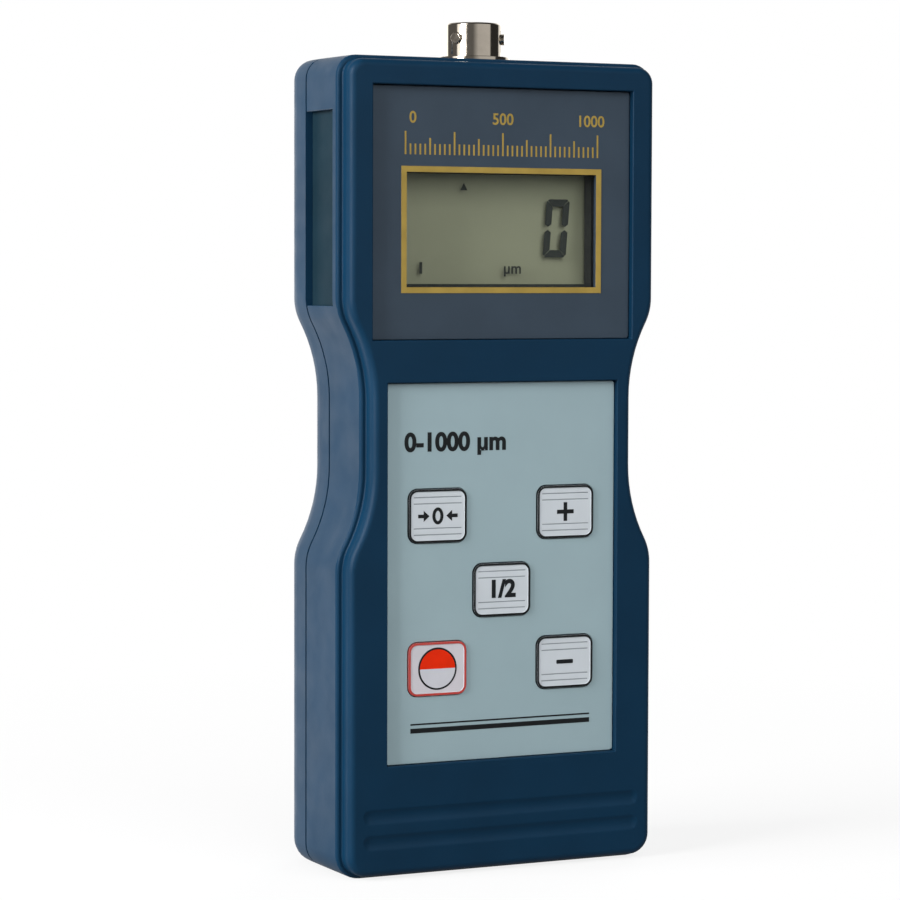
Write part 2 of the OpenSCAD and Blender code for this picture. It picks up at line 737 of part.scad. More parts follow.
module socket_insert() color("#e6e2d6") difference() {
    translate([0, socket_y, shank_z0]) cylinder(d = insert_d, h = socket_floor_z - shank_z0);
    contact_places() translate([0, 0, shank_z0 - past]) cylinder(d = contact_d + 2 * press_gap, h = body_h);
}

module socket_contacts() color("#c9a24a") contact_places() difference() {
    translate([0, 0, contact_z0]) cylinder(d = contact_d, h = socket_floor_z - contact_z0);
    translate([0, 0, socket_floor_z - contact_bore_l])
        cylinder(d = contact_bore_d, h = contact_bore_l + past);
}

module socket_washer() color("#b9bcc0") translate([0, socket_y, washer_z]) difference() {
    cylinder(d = nut_w + washer_over, h = washer_t);
    translate([0, 0, -past]) cylinder(d = shank_d + 2 * seat_gap, h = washer_t + 2 * past);
}

module socket_nut() color("#b9bcc0") translate([0, socket_y, nut_z]) difference() {
    cylinder(d = nut_w / cos(30), h = nut_t, $fn = 6);
    translate([0, 0, -past]) cylinder(d = shank_d + 2 * press_gap, h = nut_t + 2 * past);
}

// Short leads from the two front contacts and the two rear ones down to the back of the board
module socket_leads() color("#d9d4c6") for (x = [-1, 1], y = [-1, 1]) {
    reach = contact_ring * cos(45);
    lead_y = socket_y + y * reach;
    foot_z = board_z1 - lead_foot - (y + 1) * lead_step;
    translate([x * reach, lead_y, foot_z]) cylinder(d = lead_d, h = contact_z0 - foot_z);
    rod(lead_d, board_back_y, lead_y, x * reach, foot_z);
    translate([x * reach, lead_y, foot_z]) sphere(d = lead_d);
}

module side_plate() translate([half_w - pocket_depth - side_plate_t, 0, 0])
    block(0, side_plate_t, pocket_front_y - pocket_lip + seat_gap, seam_y, pocket_z0 - pocket_lip + seat_gap,
          pocket_z1 + pocket_lip - seat_gap);

module side_plate_right() color("#33465a") side_plate();
module side_plate_left() color("#33465a") mirror([1, 0, 0]) side_plate();

module case_screws() color("#8f9296") screw_places() difference() {
    union() {
        rod(screw_d, screw_seat_y - screw_l, screw_seat_y + join, 0, 0);
        rod(screw_head_d, screw_seat_y, screw_seat_y + screw_head_t, 0, 0);
    }
    for (turn = [0, 90]) translate([0, screw_seat_y + screw_head_t, 0]) rotate([0, turn, 0])
        cube([cross_l, 2 * cross_depth, cross_w], center = true);
}

front_shell();
rear_shell();
battery_cover();
display_panel();
display_window();
window_border();
lcd_cell();
lcd_holder();
lcd_strips();
keypad_plate();
zero_key();
plus_key();
mode_key();
power_key();
minus_key();
zero_stem();
plus_stem();
mode_stem();
power_stem();
minus_stem();
key_switches();
main_board();
board_screws();
controller_chip();
amplifier_chips();
crystal();
capacitors();
battery_cells();
battery_springs();
battery_contacts();
battery_leads();
socket_shell();
socket_insert();
socket_contacts();
socket_washer();
socket_nut();
socket_leads();
side_plate_left();
side_plate_right();
case_screws();
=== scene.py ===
"""Looks of the hand-held coating thickness gauge: finishes, prints, display and a plain studio."""
import json
import math

import bmesh
import bpy
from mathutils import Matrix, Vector

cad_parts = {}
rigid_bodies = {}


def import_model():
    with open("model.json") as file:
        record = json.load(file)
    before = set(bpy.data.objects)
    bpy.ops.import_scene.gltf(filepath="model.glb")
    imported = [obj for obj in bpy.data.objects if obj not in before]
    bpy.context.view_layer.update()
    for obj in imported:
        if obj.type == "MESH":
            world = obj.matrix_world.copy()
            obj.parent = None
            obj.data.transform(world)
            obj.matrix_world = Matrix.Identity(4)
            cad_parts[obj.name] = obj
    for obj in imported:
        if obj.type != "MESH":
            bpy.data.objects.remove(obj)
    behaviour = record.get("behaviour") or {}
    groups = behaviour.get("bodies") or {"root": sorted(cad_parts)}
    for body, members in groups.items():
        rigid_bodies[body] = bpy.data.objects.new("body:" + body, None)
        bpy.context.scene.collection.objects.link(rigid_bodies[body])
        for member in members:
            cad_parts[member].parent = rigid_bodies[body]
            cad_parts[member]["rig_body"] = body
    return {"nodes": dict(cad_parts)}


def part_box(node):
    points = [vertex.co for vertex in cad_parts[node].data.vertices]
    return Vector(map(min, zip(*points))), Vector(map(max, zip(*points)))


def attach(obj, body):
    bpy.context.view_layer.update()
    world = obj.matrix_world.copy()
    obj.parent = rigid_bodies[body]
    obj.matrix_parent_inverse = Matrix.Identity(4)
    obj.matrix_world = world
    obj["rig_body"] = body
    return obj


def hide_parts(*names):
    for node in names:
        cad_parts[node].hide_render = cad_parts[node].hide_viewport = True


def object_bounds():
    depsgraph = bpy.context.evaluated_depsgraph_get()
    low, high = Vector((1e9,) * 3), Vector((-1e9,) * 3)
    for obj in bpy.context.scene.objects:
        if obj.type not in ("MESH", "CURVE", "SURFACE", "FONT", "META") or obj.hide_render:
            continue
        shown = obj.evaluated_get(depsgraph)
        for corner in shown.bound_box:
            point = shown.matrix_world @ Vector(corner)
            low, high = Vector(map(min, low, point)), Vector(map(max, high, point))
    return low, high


MM = 0.001
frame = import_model()
cad_low, cad_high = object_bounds()
scene = bpy.context.scene

# Camera in the part's frame, worked out from the housing's edges in the photograph
CAMERA_AT = (-0.26719, -0.54642, 0.11343)
CAMERA_TURN = (86.768, -0.164, -25.728)
CAMERA_LENS = 126.0
CAMERA_SENSOR = 36.0
CAMERA_NEAR = 0.01

# Copies of CAD nodes: points closer than WELD join, facets flatter than FLAT degrees merge, and edges sharper
# than SHARP degrees are rounded
WELD = 0.002 * MM
FLAT = 0.3
SHARP = 36.0
FACE_WEIGHT = 90

# A face is a wall if the share of its normal along y is smaller than this
WALL = 0.5

# Corners that stand out of a shell by edges shorter than PIP are levelled, and faces with more corners than
# MOST_CORNERS are split, so that rounding their edges can't fold them
PIP = 0.4 * MM
MOST_CORNERS = 60

# The outer edge of each shell is drawn back from the seam by this much
GROOVE = 0.26 * MM

# Print lies this far over the face that carries it
INK = 0.03 * MM

KEYS = ("zero", "plus", "mode", "power", "minus")

# Materials: noise keeps mostly to NOISE_RANGE, and gloss varies in finer patches than colour
NOISE_RANGE = (0.3, 0.7)
CLOUD_DETAIL = 4.0
GLOSS_DETAIL = 3.0
GLOSS_FINER = 3.0
GRAIN_DETAIL = 2.0
GRAIN_ROUGHNESS = 0.6


def shader(name):
    """A new node material and its main shader."""
    made = bpy.data.materials.new(name)
    made.use_nodes = True
    return made, made.node_tree.nodes["Principled BSDF"]


def noise(tree, scale, detail, roughness=0.5):
    """Noise in the part's own metres: scale is about the number of specks along a metre."""
    place = tree.nodes.new("ShaderNodeTexCoord")
    made = tree.nodes.new("ShaderNodeTexNoise")
    made.inputs["Scale"].default_value = scale
    made.inputs["Detail"].default_value = detail
    made.inputs["Roughness"].default_value = roughness
    tree.links.new(place.outputs["Object"], made.inputs["Vector"])
    return made.outputs["Fac"]


def ranged(tree, value, source, target):
    """Maps a value from the range source to the range target."""
    made = tree.nodes.new("ShaderNodeMapRange")
    made.inputs["From Min"].default_value, made.inputs["From Max"].default_value = source
    made.inputs["To Min"].default_value, made.inputs["To Max"].default_value = target
    tree.links.new(value, made.inputs["Value"])
    return made.outputs["Result"]


def mixed(tree, factor, first, second):
    """Two shaders mixed by a factor: 0 shows the first one and 1 the second."""
    made = tree.nodes.new("ShaderNodeMixShader")
    tree.links.new(factor, made.inputs["Fac"])
    tree.links.new(first, made.inputs[1])
    tree.links.new(second, made.inputs[2])
    return made.outputs["Shader"]


def finish(name, colour, rough, cloud, rough_spread=0.06, tint=0.1, grain=0.0, relief=0.0, metallic=0.0,
           specular=0.5, alpha=1.0):
    """A surface with clouded colour and gloss, and a moulded or plated grain of a given relief in metres."""
    made, main = shader(name)
    tree = made.node_tree
    main.inputs["Metallic"].default_value = metallic
    main.inputs["Specular IOR Level"].default_value = specular
    main.inputs["Alpha"].default_value = alpha
    mixer = tree.nodes.new("ShaderNodeMix")
    mixer.data_type = "RGBA"
    mixer.inputs["A"].default_value = (*[c * (1 - tint) for c in colour], 1)
    mixer.inputs["B"].default_value = (*[c * (1 + tint) for c in colour], 1)
    clouds = ranged(tree, noise(tree, cloud, CLOUD_DETAIL), NOISE_RANGE, (0.0, 1.0))
    tree.links.new(clouds, mixer.inputs["Factor"])
    tree.links.new(mixer.outputs["Result"], main.inputs["Base Color"])
    patches = noise(tree, cloud * GLOSS_FINER, GLOSS_DETAIL)
    gloss = ranged(tree, patches, NOISE_RANGE, (rough - rough_spread, rough + rough_spread))
    tree.links.new(gloss, main.inputs["Roughness"])
    if relief > 0:
        bump = tree.nodes.new("ShaderNodeBump")
        bump.inputs["Strength"].default_value = 1.0
        bump.inputs["Distance"].default_value = relief
        tree.links.new(noise(tree, grain, GRAIN_DETAIL, GRAIN_ROUGHNESS), bump.inputs["Height"])
        tree.links.new(bump.outputs["Normal"], main.inputs["Normal"])
    return made


housing_blue = finish("housing_blue", (0.0017, 0.0212, 0.0492), rough=0.50, rough_spread=0.05, tint=0.08,
                      cloud=60, grain=2600, relief=0.010 * MM, specular=0.17)
side_slate = finish("side_slate", (0.0070, 0.0185, 0.0270), rough=0.48, rough_spread=0.05, tint=0.10,
                    cloud=90, grain=2200, relief=0.010 * MM, specular=0.02)
panel_slate = finish("panel_slate", (0.0330, 0.0490, 0.0690), rough=0.42, rough_spread=0.05, tint=0.06,
                     cloud=120, grain=4000, relief=0.002 * MM, specular=0.2)
keypad_pale = finish("keypad_pale", (0.2620, 0.3530, 0.3830), rough=0.45, tint=0.04, cloud=50, grain=3500,
                     relief=0.003 * MM, specular=0.3)
key_pale = finish("key_pale", (0.4960, 0.5350, 0.5700), rough=0.42, rough_spread=0.05, tint=0.03,
                  cloud=200, grain=3500, relief=0.002 * MM, specular=0.35)
power_pale = finish("power_pale", (0.5220, 0.5010, 0.5370), rough=0.42, rough_spread=0.05, tint=0.03,
                    cloud=200, grain=3500, relief=0.002 * MM, specular=0.35)
ink_black = finish("ink_black", (0.0060, 0.0075, 0.0085), rough=0.45, tint=0.12, cloud=400, specular=0.3)
ink_grey = finish("ink_grey", (0.2300, 0.2600, 0.2800), rough=0.50, tint=0.08, cloud=400, specular=0.3)
ink_red = finish("ink_red", (0.6400, 0.0200, 0.0010), rough=0.45, tint=0.06, cloud=400, specular=0.15)
ink_rose = finish("ink_rose", (0.4000, 0.0450, 0.0380), rough=0.45, tint=0.06, cloud=400, specular=0.3)
ink_white = finish("ink_white", (0.5030, 0.5080, 0.5520), rough=0.45, tint=0.03, cloud=400, specular=0.3)
border_gold = finish("border_gold", (0.2950, 0.2060, 0.0450), rough=0.46, rough_spread=0.08, tint=0.10,
                     cloud=300, grain=5000, relief=0.002 * MM, specular=0.25)
lcd_grey = finish("lcd_grey", (0.2850, 0.3050, 0.2080), rough=0.55, rough_spread=0.05, tint=0.03,
                  cloud=60, grain=9000, relief=0.002 * MM, specular=0.2)
lcd_ink = finish("lcd_ink", (0.0260, 0.0310, 0.0280), rough=0.50, rough_spread=0.05, tint=0.08,
                 cloud=300, specular=0.2)
window_clear = finish("window_clear", (0.0400, 0.0450, 0.0420), rough=0.08, rough_spread=0.03, tint=0.02,
                      cloud=60, alpha=0.04)
holder_black = finish("holder_black", (0.0100, 0.0115, 0.0125), rough=0.50, tint=0.12, cloud=150, grain=2500,
                      relief=0.006 * MM)
socket_nickel = finish("socket_nickel", (0.7000, 0.6250, 0.5250), rough=0.09, rough_spread=0.03, tint=0.05,
                       cloud=500, grain=1500, relief=0.001 * MM, metallic=1.0)
fixing_steel = finish("fixing_steel", (0.4200, 0.4250, 0.4300), rough=0.32, rough_spread=0.08, tint=0.10,
                      cloud=500, grain=4000, relief=0.003 * MM, metallic=1.0)
contact_steel = finish("contact_steel", (0.5600, 0.5650, 0.5700), rough=0.28, rough_spread=0.08, tint=0.08,
                       cloud=500, metallic=1.0)
contact_gold = finish("contact_gold", (0.7200, 0.5200, 0.1900), rough=0.22, tint=0.06, cloud=500,
                      metallic=1.0)
insulator_cream = finish("insulator_cream", (0.7000, 0.6700, 0.5800), rough=0.45, tint=0.05, cloud=300,
                         grain=3000, relief=0.003 * MM)
board_green = finish("board_green", (0.0180, 0.1150, 0.0480), rough=0.35, rough_spread=0.08, tint=0.18,
                     cloud=250, grain=1800, relief=0.006 * MM)
chip_black = finish("chip_black", (0.0120, 0.0125, 0.0135), rough=0.55, tint=0.15, cloud=500, grain=5000,
                    relief=0.006 * MM)
switch_black = finish("switch_black", (0.0180, 0.0190, 0.0200), rough=0.48, tint=0.12, cloud=400)
strip_pink = finish("strip_pink", (0.5400, 0.2400, 0.2900), rough=0.60, tint=0.12, cloud=900)
sleeve_blue = finish("sleeve_blue", (0.0220, 0.0350, 0.0820), rough=0.35, tint=0.10, cloud=300)
cell_jacket = finish("cell_jacket", (0.0250, 0.0270, 0.0310), rough=0.33, rough_spread=0.08, tint=0.12,
                     cloud=200)
lead_red = finish("lead_red", (0.3700, 0.0310, 0.0300), rough=0.42, tint=0.08, cloud=500)
lead_pale = finish("lead_pale", (0.6600, 0.6300, 0.5500), rough=0.42, tint=0.08, cloud=500)


# Building blocks

def add_piece(name, bm, surface, body):
    """A mesh object in the part's frame that rides on a CAD body."""
    mesh = bpy.data.meshes.new(name)
    bm.to_mesh(mesh)
    bm.free()
    mesh.materials.append(surface)
    mesh.shade_smooth()
    mesh.set_sharp_from_angle(angle=math.radians(SHARP))
    made = bpy.data.objects.new(name, mesh)
    scene.collection.objects.link(made)
    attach(made, body)
    return made


def round_edges(piece, width, segments):
    """Rounds the edges that mark_sharp has marked, and keeps the flat faces flat in shading."""
    rounding = piece.modifiers.new("rounded_edges", "BEVEL")
    rounding.width = width
    rounding.segments = segments
    rounding.limit_method = "WEIGHT"
    rounding.use_clamp_overlap = False
    rounding.harden_normals = False
    weights = piece.modifiers.new("flat_faces", "WEIGHTED_NORMAL")
    weights.keep_sharp = True
    weights.weight = FACE_WEIGHT


def node_body(node):
    """The body that a CAD node belongs to."""
    return frame["nodes"][node]["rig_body"]


def level_pips(bm):
    """Takes off tiny three-sided corners, and splits the faces with most corners into even triangles."""
    pips = []
    for v in bm.verts:
        tiny = all(e.calc_length() < PIP for e in v.link_edges)
        three_sided = len(v.link_edges) == 3 and all(len(f.verts) == 3 for f in v.link_faces)
        if tiny and three_sided:
            pips.append(v)
    bmesh.ops.dissolve_verts(bm, verts=pips)
    many = [f for f in bm.faces if len(f.verts) > MOST_CORNERS]
    bmesh.ops.triangulate(bm, faces=many, ngon_method="BEAUTY")


def cut_groove(bm, y):
    """Draws the outer edge of a shell's rim back, so that the shells meet in a narrow dark groove."""
    bm.normal_update()
    middle = (cad_low + cad_high) / 2
    drawn = {}
    for e in bm.edges:
        walls = [f for f in e.link_faces if abs(f.normal.y) < WALL]
        if len(walls) == 1 and all(abs(v.co.y - y) < WELD for v in e.verts):
            away = (e.verts[0].co + e.verts[1].co) / 2 - middle
            if walls[0].normal.x * away.x + walls[0].normal.z * away.z > 0:
                side = 1 if walls[0].calc_center_median().y > y else -1
                drawn.update((v, side) for v in e.verts)
    for v, side in drawn.items():
        v.co.y += side * GROOVE


def mark_sharp(bm, rims):
    """Marks the edges that are sharper than SHARP, apart from those of a groove, for rounding."""
    bm.normal_update()
    weight = bm.edges.layers.float.new("bevel_weight_edge")
    for e in bm.edges:
        grooved = any(all(abs(v.co.y - y) < GROOVE + WELD for v in e.verts) for y in rims)
        e[weight] = 1.0 if e.calc_face_angle(0.0) > math.radians(SHARP) and not grooved else 0.0


def dressed(node, surface, width, segments=2, rims=(), levelled=False):
    """A welded copy of a CAD node with rounded edges, which is shown in the node's place.

    Facets in the planes y = rims stay unmerged, because a merged rim of a shell would close over its waist.
    """
    bm = bmesh.new()
    bm.from_mesh(frame["nodes"][node].data)
    bmesh.ops.remove_doubles(bm, verts=bm.verts, dist=WELD)
    kept = {e for e in bm.edges for y in rims if all(abs(v.co.y - y) < WELD for v in e.verts)}
    free = [e for e in bm.edges if e not in kept]
    corners = [] if rims else bm.verts
    bmesh.ops.dissolve_limit(bm, angle_limit=math.radians(FLAT), verts=corners, edges=free)
    if levelled:
        level_pips(bm)
    for y in rims:
        cut_groove(bm, y)
    mark_sharp(bm, rims)
    for face in bm.faces:
        face.material_index = 0
    piece = add_piece(node + "_finish", bm, surface, node_body(node))
    if "custom_normal" in piece.data.attributes:
        piece.data.attributes.remove(piece.data.attributes["custom_normal"])
    round_edges(piece, width, segments)
    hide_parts(node)
    return piece


def paint(node, surface):
    """A CAD node that stays as it is gets its finish."""
    frame["nodes"][node].data.materials[0] = surface


def rounded(w, h, r, steps=6):
    """Points of a rounded rectangle round its middle, anticlockwise as seen from the front."""
    points = []
    for side_x, side_z, start in ((1, 1, 0), (-1, 1, 90), (-1, -1, 180), (1, -1, 270)):
        for i in range(steps + 1):
            angle = math.radians(start + 90 * i / steps)
            x = side_x * (w / 2 - r) + r * math.cos(angle)
            z = side_z * (h / 2 - r) + r * math.sin(angle)
            points.append((x, z))
    return points


def oval(w, h, steps=48):
    """Points of an ellipse round its middle."""
    turns = [2 * math.pi * i / steps for i in range(steps)]
    return [(w / 2 * math.cos(a), h / 2 * math.sin(a)) for a in turns]


def half_disc(d, start, steps=32):
    """Points of half a disc; start 0 is the upper half and 180 the lower one."""
    turns = [math.radians(start + 180 * i / steps) for i in range(steps + 1)]
    return [(d / 2 * math.cos(a), d / 2 * math.sin(a)) for a in turns]


def bar(x0, x1, z0, z1):
    """Points of a plain rectangle."""
    return [(x1, z1), (x0, z1), (x0, z0), (x1, z0)]


def moved(points, x, z):
    """Points of a shape shifted in the front view."""
    return [(px + x, pz + z) for px, pz in points]


def add_plate(bm, points, y_front, y_back):
    """Adds a flat shape of the front view with its front face at y_front."""
    front = [bm.verts.new((x, y_front, z)) for x, z in points]
    back = [bm.verts.new((x, y_back, z)) for x, z in points]
    bm.faces.new(front)
    bm.faces.new(list(reversed(back)))
    count = len(points)
    for i in range(count):
        j = (i + 1) % count
        bm.faces.new((front[j], front[i], back[i], back[j]))


def add_ring(bm, outer, inner, y_front, y_back):
    """Adds a flat frame between two outlines with as many points each."""
    loops = []
    for points in (outer, inner):
        loops.append([bm.verts.new((x, y_front, z)) for x, z in points])
        loops.append([bm.verts.new((x, y_back, z)) for x, z in points])
    out_front, out_back, in_front, in_back = loops
    count = len(outer)
    for i in range(count):
        j = (i + 1) % count
        bm.faces.new((out_front[i], out_front[j], in_front[j], in_front[i]))
        bm.faces.new((out_back[j], out_back[i], in_back[i], in_back[j]))
        bm.faces.new((out_front[j], out_front[i], out_back[i], out_back[j]))
        bm.faces.new((in_front[i], in_front[j], in_back[j], in_back[i]))


def add_text(bm, words, size, bold, x, y, z):
    """Adds plain figures that lie in the front view, centred at x and z, with their back at y."""
    curve = bpy.data.curves.new("figures", "FONT")
    curve.body = words
    curve.size = size
    curve.offset = bold
    curve.align_x = "CENTER"
    curve.align_y = "CENTER"
    holder = bpy.data.objects.new("figures", curve)
    scene.collection.objects.link(holder)
    bpy.context.view_layer.update()
    mesh = bpy.data.meshes.new_from_object(holder.evaluated_get(bpy.context.evaluated_depsgraph_get()))
    flat = bmesh.new()
    flat.from_mesh(mesh)
    bmesh.ops.remove_doubles(flat, verts=flat.verts, dist=WELD)
    grown = bmesh.ops.extrude_face_region(flat, geom=flat.faces[:])
    top = [v for v in grown["geom"] if isinstance(v, bmesh.types.BMVert)]
    bmesh.ops.translate(flat, verts=top, vec=(0, 0, INK))
    for v in flat.verts:
        v.co = (v.co.x + x, y - v.co.z, v.co.y + z)
    bmesh.ops.recalc_face_normals(flat, faces=flat.faces[:])
    flat.to_mesh(mesh)
    flat.free()
    bm.from_mesh(mesh)
    bpy.data.objects.remove(holder)
    bpy.data.curves.remove(curve)
    bpy.data.meshes.remove(mesh)


def print_piece(name, shapes, y, surface, body):
    """Flat print on a face at y: every shape is a list of points."""
    bm = bmesh.new()
    for points in shapes:
        add_plate(bm, points, y - INK, y)
    add_piece(name, bm, surface, body)


def ring_piece(name, outer, inner, y_front, y_back, surface, body):
    """A printed line between two outlines."""
    bm = bmesh.new()
    add_ring(bm, outer, inner, y_front, y_back)
    add_piece(name, bm, surface, body)


def text_piece(name, labels, size, bold, y, surface, body):
    """Printed figures on a face at y: every label has its words and its middle."""
    bm = bmesh.new()
    for words, x, z in labels:
        add_text(bm, words, size, bold, x, y, z)
    add_piece(name, bm, surface, body)


# Housing, panel, keypad and fittings: the solids with rounded edges and their finish
seam_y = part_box("front_shell")[1].y
dressed("front_shell", housing_blue, width=0.22 * MM, rims=(seam_y,))
dressed("rear_shell", housing_blue, width=0.08 * MM, rims=(seam_y,), levelled=True)
dressed("battery_cover", housing_blue, width=0.22 * MM)
dressed("display_panel", panel_slate, width=0.12 * MM)
dressed("window_border", border_gold, width=0.03 * MM)
dressed("keypad_plate", keypad_pale, width=0.10 * MM)
dressed("side_plate_left", side_slate, width=0.12 * MM)
dressed("side_plate_right", side_slate, width=0.12 * MM)
dressed("socket_shell", socket_nickel, width=0.10 * MM, segments=3)
dressed("case_screws", fixing_steel, width=0.12 * MM)

# Nodes that keep their shape
KEPT = {
    "display_window": window_clear,
    "lcd_cell": lcd_grey,
    "lcd_holder": holder_black,
    "lcd_strips": strip_pink,
    "key_switches": switch_black,
    "main_board": board_green,
    "board_screws": fixing_steel,
    "controller_chip": chip_black,
    "amplifier_chips": chip_black,
    "crystal": contact_steel,
    "capacitors": sleeve_blue,
    "battery_cells": cell_jacket,
    "battery_springs": contact_steel,
    "battery_contacts": contact_steel,
    "battery_leads": lead_red,
    "socket_insert": insulator_cream,
    "socket_contacts": contact_gold,
    "socket_washer": fixing_steel,
    "socket_nut": fixing_steel,
    "socket_leads": lead_pale,
}
for kept_node, kept_surface in KEPT.items():
    paint(kept_node, kept_surface)
for key in KEYS:
    paint(key + "_stem", switch_black)

# Keys: a pale cap, a printed border on its rim, fine lines in its grooves and a mark
KEY_ROUNDING = 0.04 * MM
KEY_BORDER = 0.43 * MM
BORDER_INSET = 0.03 * MM
KEY_RIM = 0.8 * MM
KEY_CORNER = 1.75 * MM
LINE_W = 0.20 * MM
LINE_INSET = 1.05 * MM
LINE_DROPS = (1.5 * MM, 2.7 * MM)
FACE_DROP = 0.08 * MM
GROOVE_DROP = 0.16 * MM


def key_place(key):
    """Middle of a key in the front view, and the depth of its front."""
    low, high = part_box(key + "_key")
    return (low.x + high.x) / 2, (low.z + high.z) / 2, low.y


def key_size(key):
    """Width and height of a key."""
    low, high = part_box(key + "_key")
    return high.x - low.x, high.z - low.z


def key_border(key, surface):
    """The line round a key's rim."""
    x, z, y = key_place(key)
    w, h = key_size(key)
    outer = rounded(w - 2 * BORDER_INSET, h - 2 * BORDER_INSET, KEY_CORNER - BORDER_INSET)
    inner = rounded(w - 2 * KEY_BORDER, h - 2 * KEY_BORDER, KEY_CORNER - KEY_BORDER)
    ring_piece(key + "_key_border", moved(outer, x, z), moved(inner, x, z), y - INK, y, surface,
               key + "_key")


def key_lines(key):
    """Two fine lines near the top and two near the foot of a key."""
    x, z, y = key_place(key)
    w, h = key_size(key)
    half = w / 2 - LINE_INSET
    shapes = []
    for side in (-1, 1):
        for drop in LINE_DROPS:
            middle = z + side * (h / 2 - drop)
            shapes.append(bar(x - half, x + half, middle - LINE_W / 2, middle + LINE_W / 2))
    print_piece(key + "_key_lines", shapes, y + GROOVE_DROP, ink_grey, key + "_key")


def key_mark(key, shapes):
    """A mark on the face of a key, given round the key's middle."""
    x, z, y = key_place(key)
    placed = [moved(points, x, z) for points in shapes]
    print_piece(key + "_key_mark", placed, y + FACE_DROP, ink_black, key + "_key")


def ink_walls(key, cap, surface):
    """Gives the outer walls of a key cap the colour of its border."""
    x, z, _ = key_place(key)
    w, h = key_size(key)
    cap.data.materials.append(surface)
    for face in cap.data.polygons:
        from_x = face.center.x - x
        from_z = face.center.z - z
        outward = face.normal.x * from_x + face.normal.z * from_z > 0
        at_rim = abs(from_x) > w / 2 - KEY_RIM or abs(from_z) > h / 2 - KEY_RIM
        if abs(face.normal.y) < WALL and outward and at_rim:
            face.material_index = 1


for key in KEYS:
    key_cap = dressed(key + "_key", power_pale if key == "power" else key_pale, width=KEY_ROUNDING)
    key_ink = ink_rose if key == "power" else ink_black
    key_border(key, key_ink)
    ink_walls(key, key_cap, key_ink)
    if key != "power":
        key_lines(key)

# Marks of the keys: arrows to a nought, a plus, a choice of two, a half disc and a minus
MARK_L = 3.6 * MM
MARK_T = 0.78 * MM
MARK_CORNER = 0.2 * MM
ARROW_GAP = 0.6 * MM
ARROW_L = 2.35 * MM
ARROW_HEAD = 1.2 * MM
ARROW_WING = 1.05 * MM
ARROW_SHAFT = 0.34 * MM
NOUGHT = (2.3 * MM, 3.2 * MM)
NOUGHT_LINE = 0.64 * MM
CHOICE_SIZE = 4.5 * MM
CHOICE_BOLD = 0.2 * MM
DISC_D = 8.0 * MM
DISC_LINE = 0.34 * MM


def plus_shape(length, thickness):
    """Points of a plus round its middle."""
    a = length / 2
    b = thickness / 2
    return [(b, a), (-b, a), (-b, b), (-a, b), (-a, -b), (-b, -b),
            (-b, -a), (b, -a), (b, -b), (a, -b), (a, b), (b, b)]


def arrow_shape(tip, side):
    """An arrow whose head ends at tip, coming from the left if side is -1 and from the right if it is 1."""
    far = tip + side * ARROW_L
    neck = tip + side * ARROW_HEAD
    points = [(tip, 0), (neck, ARROW_WING), (neck, ARROW_SHAFT), (far, ARROW_SHAFT),
              (far, -ARROW_SHAFT), (neck, -ARROW_SHAFT), (neck, -ARROW_WING)]
    return points if side < 0 else points[::-1]


key_mark("minus", [rounded(MARK_L, MARK_T, MARK_CORNER, steps=3)])
key_mark("plus", [plus_shape(MARK_L, MARK_T)])

zero_x, zero_z, zero_y = key_place("zero")
arrow_tip = NOUGHT[0] / 2 + ARROW_GAP
key_mark("zero", [arrow_shape(-arrow_tip, -1), arrow_shape(arrow_tip, 1)])
nought_inside = oval(NOUGHT[0] - 2 * NOUGHT_LINE, NOUGHT[1] - 2 * NOUGHT_LINE)
ring_piece("zero_key_nought", moved(oval(*NOUGHT), zero_x, zero_z), moved(nought_inside, zero_x, zero_z),
           zero_y + FACE_DROP - INK, zero_y + FACE_DROP, ink_black, "zero_key")

mode_x, mode_z, mode_y = key_place("mode")
text_piece("mode_key_mark", [("1/2", mode_x, mode_z)], CHOICE_SIZE, CHOICE_BOLD, mode_y + FACE_DROP,
           ink_black, "mode_key")

power_x, power_z, power_y = key_place("power")
power_face = power_y + FACE_DROP
field_d = DISC_D - 2 * DISC_LINE
print_piece("power_key_red_half", [moved(half_disc(field_d, 0), power_x, power_z)], power_face, ink_red,
            "power_key")
print_piece("power_key_white_half", [moved(half_disc(field_d, 180), power_x, power_z)], power_face, ink_white,
            "power_key")
ring_piece("power_key_disc_line", moved(oval(DISC_D, DISC_D), power_x, power_z),
           moved(oval(field_d, field_d), power_x, power_z), power_face - INK, power_face + FACE_DROP,
           ink_black, "power_key")

# Panel print: a plain gold scale with three figures
panel_low, panel_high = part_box("display_panel")
SCALE_HALF = 20.2 * MM
SCALE_STEPS = 40
SCALE_FOOT = panel_high.z - 12.7 * MM
TICK_W = 0.34 * MM
TICK_H = 2.0 * MM
FIFTH_TICK_H = 3.1 * MM
TENTH_TICK_H = 4.3 * MM
FIGURE_X = SCALE_HALF - 1.5 * MM
FIGURE_Z = panel_high.z - 5.9 * MM
FIGURE_SIZE = 3.0 * MM
FIGURE_BOLD = 0.05 * MM


def tick_height(i):
    """Every fifth tick is longer, and every tenth one longest."""
    if i % 10 == 0:
        return TENTH_TICK_H
    return FIFTH_TICK_H if i % 5 == 0 else TICK_H


ticks = []
for i in range(SCALE_STEPS + 1):
    tick_x = -SCALE_HALF + 2 * SCALE_HALF * i / SCALE_STEPS
    ticks.append(bar(tick_x - TICK_W / 2, tick_x + TICK_W / 2, SCALE_FOOT, SCALE_FOOT + tick_height(i)))
print_piece("panel_scale_ticks", ticks, panel_low.y, border_gold, "housing")
figures = [("0", -FIGURE_X, FIGURE_Z), ("500", 0, FIGURE_Z), ("1000", FIGURE_X, FIGURE_Z)]
text_piece("panel_scale_figures", figures, FIGURE_SIZE, FIGURE_BOLD, panel_low.y, border_gold,
           "housing")

